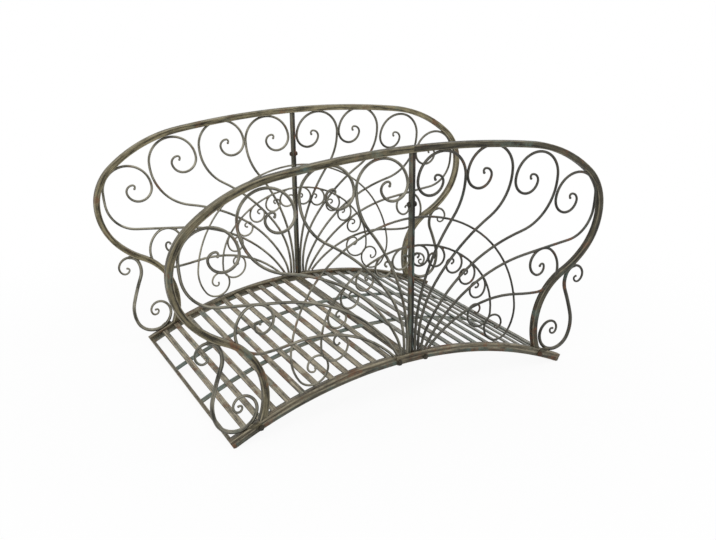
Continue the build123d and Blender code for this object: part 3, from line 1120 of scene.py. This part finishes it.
def bolt_tree():
    """Washer, hexagon head and thread end on each point, turned to face outwards."""
    sizes = {
        "Head Radius": 0.0080,
        "Head Height": 0.0045,
        "Washer Radius": 0.0092,
        "Washer Height": 0.0012,
    }
    tree, given, out = geometry_tree("hex_bolts", sizes)
    washer = disc(tree, 24, given["Washer Radius"], given["Washer Height"], 0.0)
    head = disc(tree, 6, given["Head Radius"], given["Head Height"], given["Washer Height"])
    top = calc(tree, "ADD", given["Head Height"], given["Washer Height"])
    thread_radius = calc(tree, "MULTIPLY", given["Head Radius"], THREAD_WIDTH_SHARE)
    thread_height = calc(tree, "MULTIPLY", given["Head Height"], THREAD_HEIGHT_SHARE)
    thread = disc(tree, 16, thread_radius, thread_height, top)
    way = xyz(tree, *(stored(tree, "facing_" + axis) for axis in "xyz"))
    turn = result(tree, "FunctionNodeAlignRotationToVector", {"Vector": way}, axis="Z")
    bolt = joined(tree, washer, head, thread)
    values = {"Points": given["Geometry"], "Instance": bolt, "Rotation": turn}
    bolts = real(tree, result(tree, "GeometryNodeInstanceOnPoints", values))
    kept = marked(tree, bolts, result(tree, "GeometryNodeInputPosition"))
    return dressed(tree, given, out, kept)


HEX_BOLTS = bolt_tree()

# %% Tabs at the handrails' feet
TAB_X = 0.514
TAB_WIDTH = 0.026
TAB_THICKNESS = 0.003
TAB_BOLT_RISE = 0.003
TAB_ROUND = 0.62
TAB_CORNER = 0.0006
TAB_SHOULDER = ((0.030, 0.0), (0.016, 0.010), (-0.004, 0.012))


def rail_middle(x):
    """Height of the middle of the side rail's upright leg at x."""
    return (deck_point(UNDERSIDE_RADIUS, x) + deck_point(FLANGE_RADIUS, x)) / 2


def tab_outline(middle_z):
    """Outline of the near right tab: round at its foot, with a slanted shoulder."""
    half = TAB_WIDTH / 2
    turns = [pi * step / 12 for step in range(13)]
    foot = [(TAB_X - half * cos(a), middle_z - half * sin(a) * TAB_ROUND) for a in turns]
    side, top = TAB_X + half, deck_point(BASE_TOP_RADIUS, TAB_X + TAB_WIDTH)
    return foot + [(side + x, top + z) for x, z in TAB_SHOULDER]


def foot_tab(quarter):
    """Flat tab, round at its foot, from the handrail down over the base bar and side rail."""
    x_sign, near = QUARTERS[quarter]
    middle_z = rail_middle(TAB_X) + TAB_BOLT_RISE
    outline = tab_outline(middle_z)
    shape = bmesh.new()
    y_in = -(RAIL_Y + BAR / 2) * near
    y_out = -(RAIL_Y + BAR / 2 + TAB_THICKNESS) * near
    inner, outer = [[shape.verts.new((x * x_sign, y, z)) for x, z in outline] for y in (y_in, y_out)]
    shape.faces.new(inner)
    shape.faces.new(outer)
    for n in range(len(outline)):
        after = (n + 1) % len(outline)
        shape.faces.new((inner[n], inner[after], outer[after], outer[n]))
    bmesh.ops.recalc_face_normals(shape, faces=shape.faces)
    rim = [edge for edge in shape.edges if abs(edge.verts[0].co.y - edge.verts[1].co.y) < MERGE_REACH]
    bmesh.ops.bevel(shape, geom=rim, offset=TAB_CORNER, segments=2, affect="EDGES")
    mesh = bpy.data.meshes.new("foot_tab_" + quarter)
    shape.to_mesh(mesh)
    shape.free()
    mark_mesh(mesh, along_arc)
    return new_object(mesh.name, mesh), (TAB_X * x_sign, y_out, middle_z), (0.0, -near, 0.0)


tabs, bolt_places = {}, []
for quarter in QUARTERS:
    tabs[quarter], place, facing = foot_tab(quarter)
    bolt_places.append((place, facing))
print(len(tabs), "foot tabs")

# %% Bolt places
PLATE_BOLT_X = 0.047
POST_BOLT_HEIGHT = 0.478
POST_FACE_X = 0.008
plate_low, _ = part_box("foot_plate_near")
for near in (1, -1):
    for side in (1, -1):
        plate_place = (side * PLATE_BOLT_X, plate_low.y * near, rail_middle(PLATE_BOLT_X))
        post_place = (side * POST_FACE_X, -RAIL_Y * near, CROWN + POST_BOLT_HEIGHT)
        bolt_places.append((plate_place, (0.0, -near, 0.0)))
        bolt_places.append((post_place, (side, 0.0, 0.0)))
places, ways = zip(*bolt_places)
facings = {"facing_" + axis: [float(way[n]) for way in ways] for n, axis in enumerate("xyz")}
bolts = grown("hex_bolts", point_mesh("bolts", places, **facings), HEX_BOLTS, {"Material": BOLT_PAINT})
print(len(bolt_places), "bolts,", len(bolts.data.polygons), "faces")


# %% [markdown]
# ## Painting and fitting the pieces
# Every piece takes its paint and is tied to the bridge's one body, and the solids that a piece
# stands for are hidden. Nothing on this bridge moves, so all pieces ride on the same body.

# %% Dress every piece
def finish_piece(piece, paint, slot, *nodes):
    """Give a piece its paint and its body, and hide the solids it stands for; slot is not used."""
    piece.data.materials.clear()
    piece.data.materials.append(paint)
    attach(piece, "root")
    if nodes:
        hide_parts(*nodes)


for side, piece in decks.items():
    finish_piece(piece, slat_paints[side], "slat_iron", "deck_slats_" + side)
for quarter in QUARTERS:
    for layer in PANEL:
        name = f"{layer}_{quarter}"
        finish_piece(rods[name], rod_paints[quarter], "scroll_iron", name)
    finish_piece(handrails[quarter], frame_paints[quarter], "railing_iron", "handrail_" + quarter)
    finish_piece(welds[quarter], WELD_PAINT, "scroll_iron")
    finish_piece(tabs[quarter], frame_paints[quarter], "railing_iron")
for kind, (places, _, _, paint, slot) in BARS.items():
    for place in places:
        own_paint = paint[place] if paint is post_paints else paint
        finish_piece(bars[f"{kind}_{place}"], own_paint, slot, f"{kind}_{place}")
finish_piece(bolts, BOLT_PAINT, "deck_iron")

# %% [markdown]
# ## Floor, light and camera
# The bridge was photographed on white with soft light from above. A large pale floor holds a
# faint shadow, two broad lamps and a bright world give even light, and the camera stands where
# the perspective of the two railings puts it.

# %% White for the camera, plain light for the bridge
def rays_that_see_white(tree):
    """1 for the rays that should find a white studio: from the camera, and by gloss or glass."""
    path = add(tree, "ShaderNodeLightPath")
    seen = calc(tree, "MAXIMUM", path.outputs["Is Camera Ray"], path.outputs["Is Glossy Ray"])
    return calc(tree, "MAXIMUM", seen, path.outputs["Is Transmission Ray"])


FADE_START, FADE_END = 0.7, 2.0


def studio_floor(name, shade, near_share):
    """Matt floor that fades to plain white away from the bridge and keeps a faint shadow under it."""
    material = bpy.data.materials.new(name)
    material.use_nodes = True
    tree = material.node_tree
    shader = tree.nodes["Principled BSDF"]
    shader.inputs["Base Color"].default_value = (shade, shade, shade, 1.0)
    shader.inputs["Roughness"].default_value = 0.9
    shader.inputs["Specular IOR Level"].default_value = 0.0
    away = add(tree, "ShaderNodeVectorMath", {0: object_place(tree)}, operation="LENGTH")
    far = spread(tree, away.outputs["Value"], FADE_START, FADE_END, smooth=True)
    share = calc(tree, "MULTIPLY_ADD", far, 1.0 - near_share, near_share)
    white = result(tree, "ShaderNodeEmission", {"Color": (1.0, 1.0, 1.0, 1.0), "Strength": 1.0})
    seen = calc(tree, "MULTIPLY", share, rays_that_see_white(tree))
    mixed = result(tree, "ShaderNodeMixShader", {0: seen, 1: shader.outputs[0], 2: white})
    tree.links.new(mixed, tree.nodes["Material Output"].inputs["Surface"])
    return material


FLOOR_REACH = 15.0
floor_mesh = bpy.data.meshes.new("floor")
corners = [(x * FLOOR_REACH, y * FLOOR_REACH, 0) for x, y in ((-1, -1), (1, -1), (1, 1), (-1, 1))]
floor_mesh.from_pydata(corners, [], [(0, 1, 2, 3)])
floor = new_object("floor", floor_mesh)
floor.data.materials.append(studio_floor("floor_white", shade=0.9, near_share=0.92))
floor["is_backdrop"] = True

# %% World and lamps
world = bpy.data.worlds.new("studio")
bpy.context.scene.world = world
world.use_nodes = True
sky = world.node_tree
background = sky.nodes["Background"]
LIGHT_SHARE = 0.72
strength = calc(sky, "MULTIPLY_ADD", rays_that_see_white(sky), 1.0 - LIGHT_SHARE, LIGHT_SHARE)
background.inputs["Color"].default_value = (1.0, 1.0, 1.0, 1.0)
sky.links.new(strength, background.inputs["Strength"])
LIT_PLACE = Vector((0, 0, 0.4))


def soft_lamp(name, place, size, watts):
    """Square area lamp that faces the middle of the bridge."""
    lamp = bpy.data.lights.new(name, "AREA")
    lamp.size = size
    lamp.energy = watts
    made = new_object(name, lamp)
    made.location = place
    made.rotation_mode = "QUATERNION"
    made.rotation_quaternion = (LIT_PLACE - Vector(place)).to_track_quat("-Z", "Y")


soft_lamp("key_lamp", (-2.4, -3.0, 3.4), size=2.4, watts=60)
soft_lamp("fill_lamp", (3.2, -1.5, 2.8), size=2.4, watts=22)

# %% Camera
CAMERA_PLACE = (-1.3015, -2.5265, 1.3097)
CAMERA_YAW = radians(28.034)
CAMERA_PITCH = radians(-19.4075)
CAMERA_ROLL = radians(-0.6394)
FOCAL_LENGTH = 43.37
camera = new_object("camera", bpy.data.cameras.new("camera"))
camera.data.lens = FOCAL_LENGTH
camera.data.sensor_width = 36.0
camera.data.clip_end = 100.0
level = cos(CAMERA_PITCH)
ahead = Vector((sin(CAMERA_YAW) * level, cos(CAMERA_YAW) * level, sin(CAMERA_PITCH)))
level_right = Vector((cos(CAMERA_YAW), -sin(CAMERA_YAW), 0.0))
level_up = level_right.cross(ahead)
right = level_right * cos(CAMERA_ROLL) + level_up * sin(CAMERA_ROLL)
up = level_up * cos(CAMERA_ROLL) - level_right * sin(CAMERA_ROLL)
turn = Matrix((right, up, -ahead)).transposed()
camera.matrix_world = Matrix.Translation(CAMERA_PLACE) @ turn.to_4x4()
bpy.context.scene.camera = camera
bpy.context.scene.view_settings.view_transform = "Standard"

# %% Compare the boxes and finish
visual_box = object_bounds()
sizes = {"cad": [list(corner) for corner in cad_box], "visual": [list(corner) for corner in visual_box]}
print("CAD size   ", [round(b - a, 4) for a, b in zip(*cad_box)])
print("visual size", [round(b - a, 4) for a, b in zip(*visual_box)])
